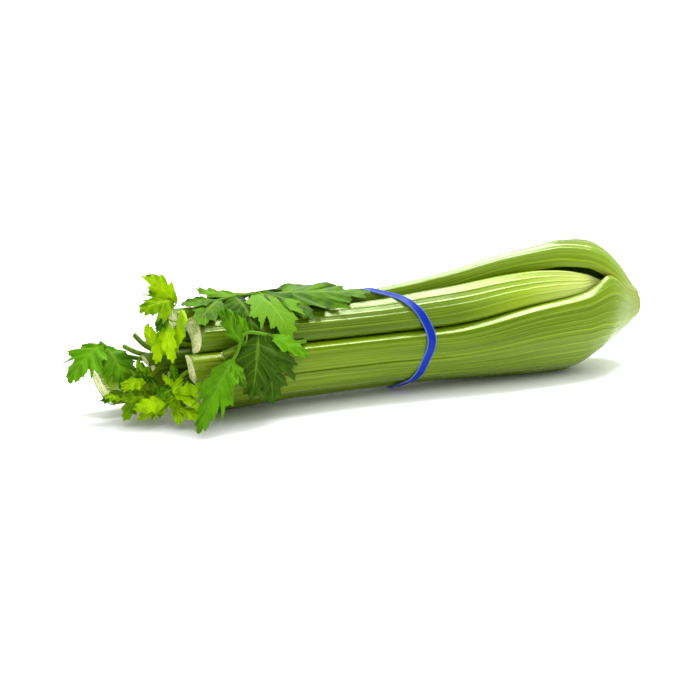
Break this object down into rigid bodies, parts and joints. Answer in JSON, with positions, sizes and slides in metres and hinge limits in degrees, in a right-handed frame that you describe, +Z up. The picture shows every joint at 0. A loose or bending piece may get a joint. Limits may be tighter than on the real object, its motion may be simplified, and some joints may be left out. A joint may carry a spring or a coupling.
{
  "type": "head of celery",
  "caption": "Head of celery lying on its side: ribbed stalks swelling to a bulb at the root end, leafy shoots at the cut end, a flat rubber band round the neck.",
  "frame": {"origin": "the flat spot under the bulb where the head rests on the surface", "axes": "+X along the head towards the root end, +Z up, -Y the front, which the picture shows"},
  "size_m": [0.4378, 0.1074, 0.0991],
  "materials": {
    "stalk_green": "waxy green stalk skin, glossy",
    "inner_green": "paler green inner stalk, satin",
    "root_cream": "cut root plate, matt cream",
    "band_blue": "blue rubber, satin",
    "leaf_dark": "dark green leaf, satin",
    "leaf_mid": "mid green leaf, satin",
    "leaf_bright": "bright yellow-green leaf, satin"
  },
  "bodies": {
    "root": {"root_plate": "root_cream", "stalk_top": "stalk_green", "stalk_front": "stalk_green", "stalk_front_low": "stalk_green", "stalk_bottom": "stalk_green", "stalk_back_low": "stalk_green", "stalk_back": "stalk_green", "stalk_back_top": "stalk_green", "stalk_front_inner": "inner_green", "inner_front": "inner_green", "inner_top": "inner_green", "inner_back": "inner_green", "inner_bottom": "inner_green", "heart_front": "inner_green", "heart_back": "inner_green", "heart_low": "inner_green", "rubber_band": "band_blue", "leaf_top": "leaf_dark", "leaf_front": "leaf_mid", "leaf_upper_left": "leaf_bright", "leaf_left": "leaf_mid", "leaf_low": "leaf_bright", "leaf_back": "leaf_dark", "leaf_low_front": "leaf_bright", "thin_stem_upper": "inner_green", "thin_stem_left": "inner_green", "side_stub": "inner_green"}
  },
  "joints": []
}
